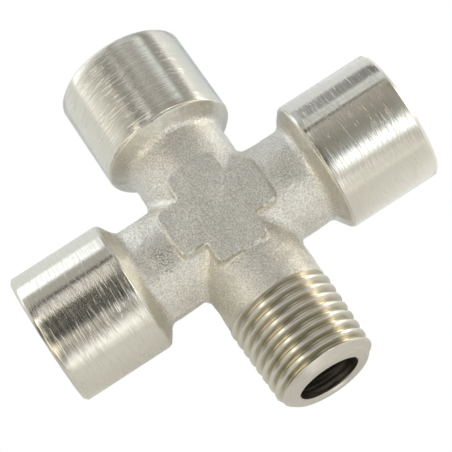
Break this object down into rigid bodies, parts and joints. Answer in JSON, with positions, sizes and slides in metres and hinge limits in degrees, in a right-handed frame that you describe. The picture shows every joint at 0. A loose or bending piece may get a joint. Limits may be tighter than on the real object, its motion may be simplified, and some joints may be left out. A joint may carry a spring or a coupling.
{
  "type": "cross fitting",
  "caption": "Four-way pipe cross with female threaded ports on three arms, a male taper-threaded spigot on the fourth, and a raised plus-shaped pad on each side.",
  "frame": {"origin": "the crossing point of the four port axes", "axes": "+Z square to the plane of the port axes and out of one plus-shaped pad, +X and -X out of the two opposite female ports, +Y out of the third female port, -Y out of the male thread"},
  "size_m": [0.0514, 0.0495, 0.0174],
  "materials": {
    "nickel_plated_brass": "nickel plated; shot-blasted as forged on the crossing, necks and pads, finely turned and bright on the bosses and the thread"
  },
  "bodies": {
    "root": {"cross_body": "nickel_plated_brass"}
  },
  "joints": []
}
